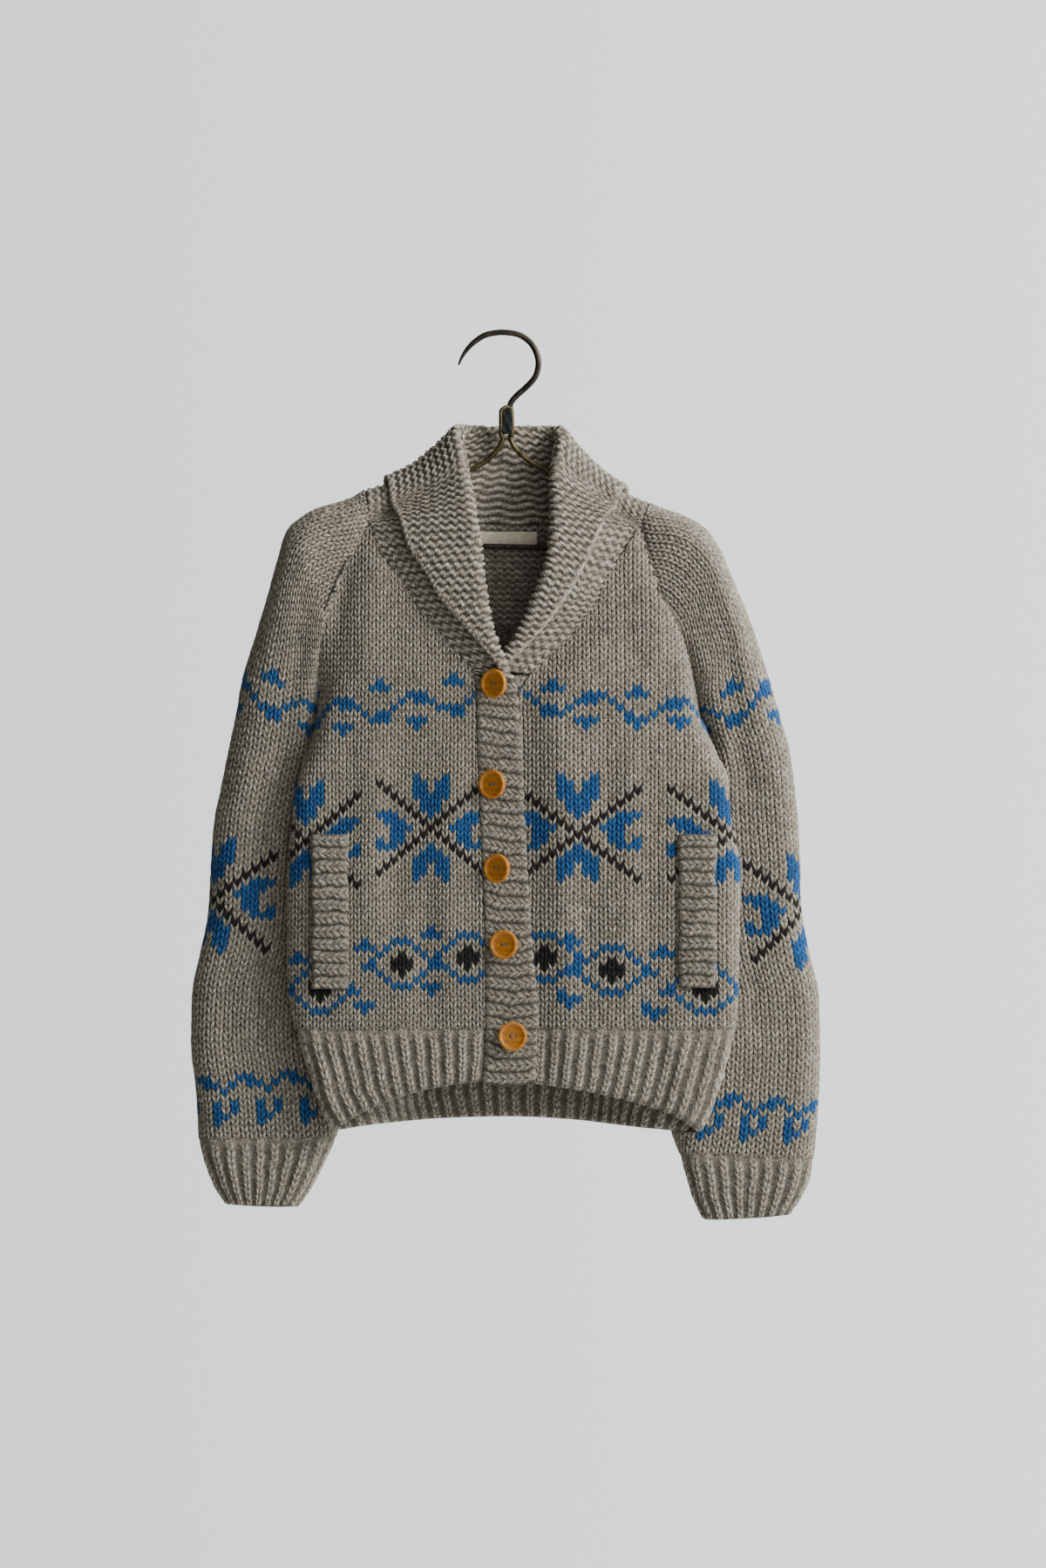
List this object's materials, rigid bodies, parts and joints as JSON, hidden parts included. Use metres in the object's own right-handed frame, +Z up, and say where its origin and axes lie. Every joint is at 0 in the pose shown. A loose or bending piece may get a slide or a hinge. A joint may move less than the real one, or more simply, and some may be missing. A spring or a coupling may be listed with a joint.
{
  "type": "cardigan on hanger",
  "caption": "Chunky shawl-collar raglan cardigan with welt pockets and patterned bands, buttoned and hung on an iron wire hanger.",
  "frame": {"origin": "the inner crown of the hanger's hook, where it rests on a rail", "axes": "+Z up, -Y towards the front of the cardigan, +X towards the wearer's left"},
  "size_m": [0.577, 0.103, 0.8202],
  "materials": {
    "wool": "heather grey-brown chunky wool in stocking stitch, with blue and black bands knitted in",
    "wool_rib": "the same wool in one-by-one rib",
    "wool_garter": "the same wool in garter stitch",
    "button_wood": "orange-brown turned wood, waxed",
    "label_cotton": "cream woven tape, blank",
    "hanger_iron": "dark wire, worn, with a dull sheen"
  },
  "bodies": {
    "root": {"back": "wool", "front_right": "wool", "front_left": "wool", "sleeve_right": "wool", "sleeve_left": "wool", "cuff_right": "wool_rib", "cuff_left": "wool_rib", "hem_back": "wool_rib", "hem_front_right": "wool_rib", "hem_front_left": "wool_rib", "collar": "wool_garter", "button_band": "wool_garter", "under_band": "wool_garter", "pocket_welt_right": "wool_rib", "pocket_welt_left": "wool_rib", "label": "label_cotton", "button_1": "button_wood", "button_2": "button_wood", "button_3": "button_wood", "button_4": "button_wood", "button_5": "button_wood", "hanger_hook": "hanger_iron", "hanger_ferrule": "hanger_iron", "hanger_arm_right": "hanger_iron", "hanger_arm_left": "hanger_iron", "hanger_bar": "hanger_iron"}
  },
  "joints": []
}
